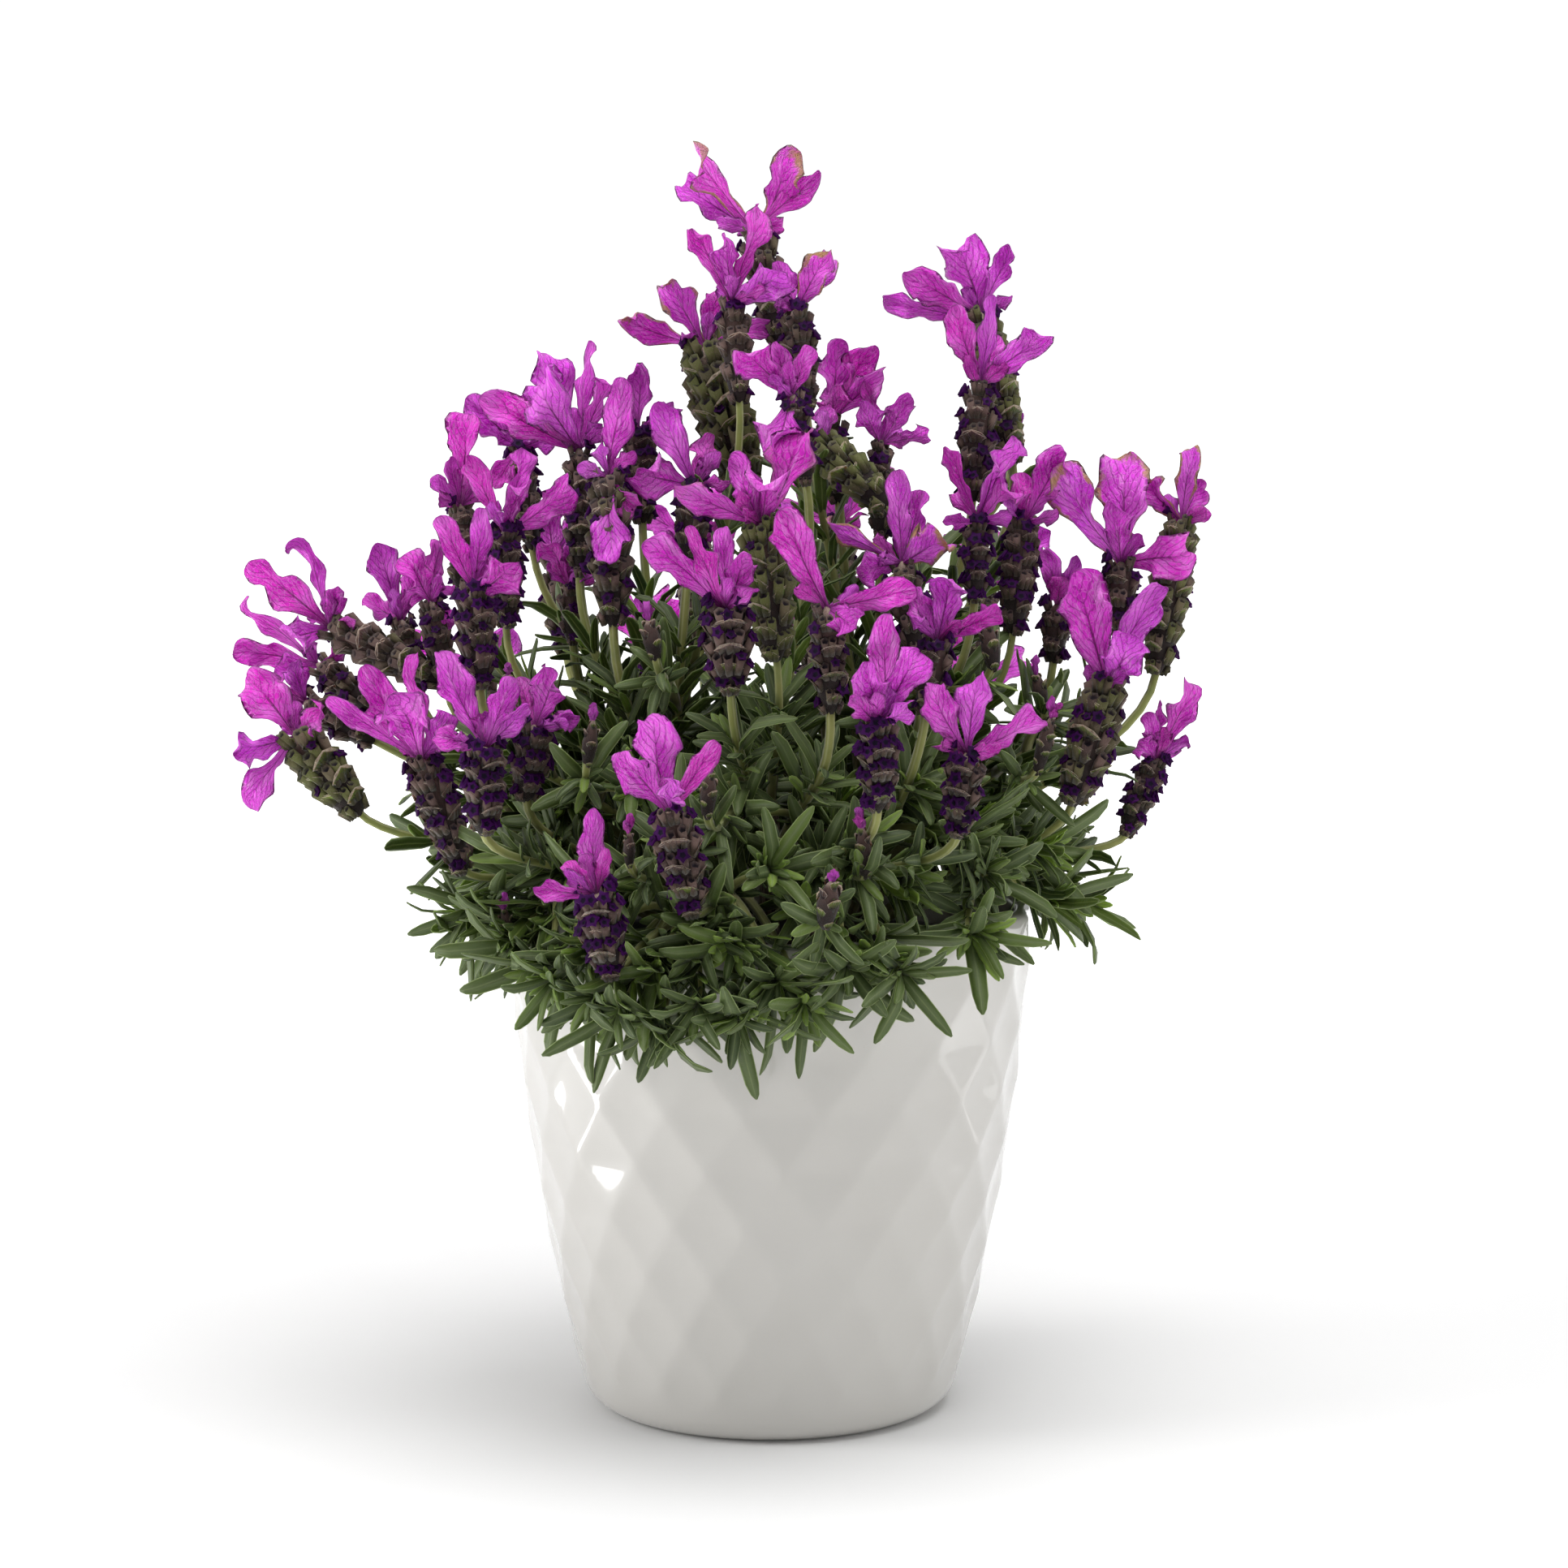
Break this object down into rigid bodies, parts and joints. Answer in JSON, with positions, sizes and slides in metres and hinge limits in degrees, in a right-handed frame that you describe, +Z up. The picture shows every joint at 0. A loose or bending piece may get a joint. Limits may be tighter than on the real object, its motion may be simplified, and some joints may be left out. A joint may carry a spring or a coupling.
{
  "type": "potted plant",
  "caption": "Spanish lavender in flower, a bushy plant with violet bract tufts on scaly spikes, in a black growing pot inside a white faceted ceramic cover pot.",
  "frame": {"origin": "middle of the cover pot's flat underside", "axes": "+Z straight up along the pot's axis, -Y toward the plant's best side, +X to the viewer's right"},
  "size_m": [0.2712, 0.2188, 0.3469],
  "materials": {
    "white_glaze": "gloss",
    "black_plastic": "satin",
    "potting_soil": "matte",
    "stems_and_leaves": "matte",
    "violet_bracts": "satin"
  },
  "bodies": {
    "root": {"cover_pot": "white_glaze", "nursery_pot": "black_plastic", "soil": "potting_soil", "leafy_stem_1": "stems_and_leaves", "leafy_stem_2": "stems_and_leaves", "leafy_stem_3": "stems_and_leaves", "leafy_stem_4": "stems_and_leaves", "leafy_stem_5": "stems_and_leaves", "bracts_crown_1": "violet_bracts", "bracts_crown_2": "violet_bracts", "bracts_crown_3": "violet_bracts", "bracts_crown_4": "violet_bracts", "bracts_crown_5": "violet_bracts", "bracts_crown_6": "violet_bracts", "bracts_crown_7": "violet_bracts", "bracts_crown_8": "violet_bracts", "bracts_peak_1": "violet_bracts", "bracts_peak_2": "violet_bracts", "bracts_centre_1": "violet_bracts", "bracts_centre_2": "violet_bracts", "bracts_centre_3": "violet_bracts", "bracts_centre_4": "violet_bracts", "bracts_left_1": "violet_bracts", "bracts_left_2": "violet_bracts", "bracts_left_3": "violet_bracts", "bracts_left_4": "violet_bracts", "bracts_left_5": "violet_bracts", "bracts_left_6": "violet_bracts", "bracts_left_7": "violet_bracts", "bracts_left_8": "violet_bracts", "bracts_left_9": "violet_bracts", "bracts_left_10": "violet_bracts", "bracts_far_left_1": "violet_bracts", "bracts_far_left_2": "violet_bracts", "bracts_far_left_3": "violet_bracts", "bracts_far_left_4": "violet_bracts", "bracts_low_left_1": "violet_bracts", "bracts_low_left_2": "violet_bracts", "bracts_low_left_3": "violet_bracts", "bracts_far_right_1": "violet_bracts", "bracts_far_right_2": "violet_bracts", "bracts_far_right_3": "violet_bracts", "bracts_far_right_4": "violet_bracts", "bracts_far_right_5": "violet_bracts", "bracts_right_1": "violet_bracts", "bracts_right_2": "violet_bracts", "bracts_right_3": "violet_bracts", "bracts_right_4": "violet_bracts", "bracts_right_5": "violet_bracts", "bracts_right_6": "violet_bracts", "bracts_front_1": "violet_bracts", "bracts_front_2": "violet_bracts", "bracts_back_1": "violet_bracts", "bracts_back_2": "violet_bracts", "bracts_back_3": "violet_bracts", "bracts_back_4": "violet_bracts", "bracts_back_5": "violet_bracts", "bracts_back_6": "violet_bracts", "bracts_back_7": "violet_bracts", "bracts_back_8": "violet_bracts"}
  },
  "joints": []
}
